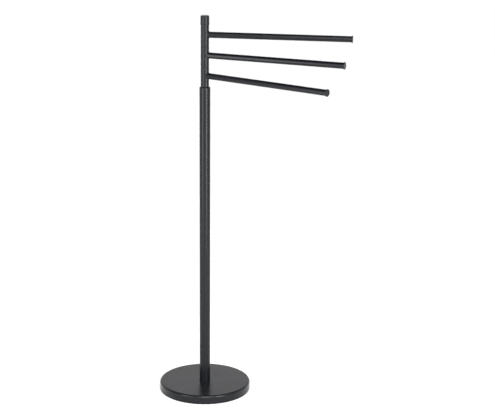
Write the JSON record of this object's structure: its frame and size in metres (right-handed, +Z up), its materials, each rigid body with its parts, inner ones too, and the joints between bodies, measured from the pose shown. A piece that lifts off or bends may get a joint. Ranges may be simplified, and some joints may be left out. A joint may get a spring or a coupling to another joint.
{
  "type": "floor-standing towel rack",
  "caption": "Floor-standing towel rack: weighted round base, slim two-piece column and swivelling arms with flanged end plugs, satin black.",
  "frame": {"origin": "on the floor, at the centre of the round base's underside, on the column's axis", "axes": "+Z up along the column, +X along the middle arm as it stands"},
  "size_m": [0.441, 0.214, 0.8941],
  "materials": {
    "coated_steel": "satin black powder coat with a very fine orange-peel texture",
    "black_plastic": "moulded, semi-matt, lightly grained",
    "black_nylon": "smooth, low sheen",
    "zinc_steel": "bright zinc plated",
    "cast_weight": "rough sand-cast surface under thin black primer",
    "foot_rubber": "matt"
  },
  "bodies": {
    "stand": {"foot_ring": "foot_rubber", "base_weight": "cast_weight", "base_cover": "coated_steel", "base_bolt": "zinc_steel", "base_spring_washer": "zinc_steel", "base_flat_washer": "zinc_steel", "column_foot_ring": "black_plastic", "column_foot_insert": "zinc_steel", "column_lower_tube": "coated_steel", "column_lower_insert": "zinc_steel", "column_joint_ring": "black_plastic", "column_joint_stud": "zinc_steel", "column_upper_insert": "zinc_steel", "column_upper_tube": "coated_steel", "pivot_insert": "zinc_steel", "pivot_lock_nut": "zinc_steel", "pivot_rod": "zinc_steel", "column_collar": "black_plastic", "thrust_washer": "coated_steel", "head_spring_washer": "zinc_steel", "head_nut": "zinc_steel", "head_cap": "black_plastic"},
    "lower_arm": {"lower_sleeve": "coated_steel", "lower_bottom_bush": "black_nylon", "lower_top_bush": "black_nylon", "lower_arm_tube": "coated_steel", "lower_arm_plug": "black_plastic"},
    "middle_arm": {"middle_sleeve": "coated_steel", "middle_bottom_bush": "black_nylon", "middle_top_bush": "black_nylon", "middle_arm_tube": "coated_steel", "middle_arm_plug": "black_plastic"},
    "upper_arm": {"upper_sleeve": "coated_steel", "upper_bottom_bush": "black_nylon", "upper_top_bush": "black_nylon", "upper_arm_tube": "coated_steel", "upper_arm_plug": "black_plastic"}
  },
  "joints": [
    {"name": "lower_arm_swivel", "type": "hinge", "parent": "stand", "child": "lower_arm", "pos_m": [0, 0, 0.7549], "axis": [0, 0, 1], "continuous": true},
    {"name": "middle_arm_swivel", "type": "hinge", "parent": "stand", "child": "middle_arm", "pos_m": [0, 0, 0.8015], "axis": [0, 0, 1], "continuous": true},
    {"name": "upper_arm_swivel", "type": "hinge", "parent": "stand", "child": "upper_arm", "pos_m": [0, 0, 0.8481], "axis": [0, 0, 1], "continuous": true}
  ]
}
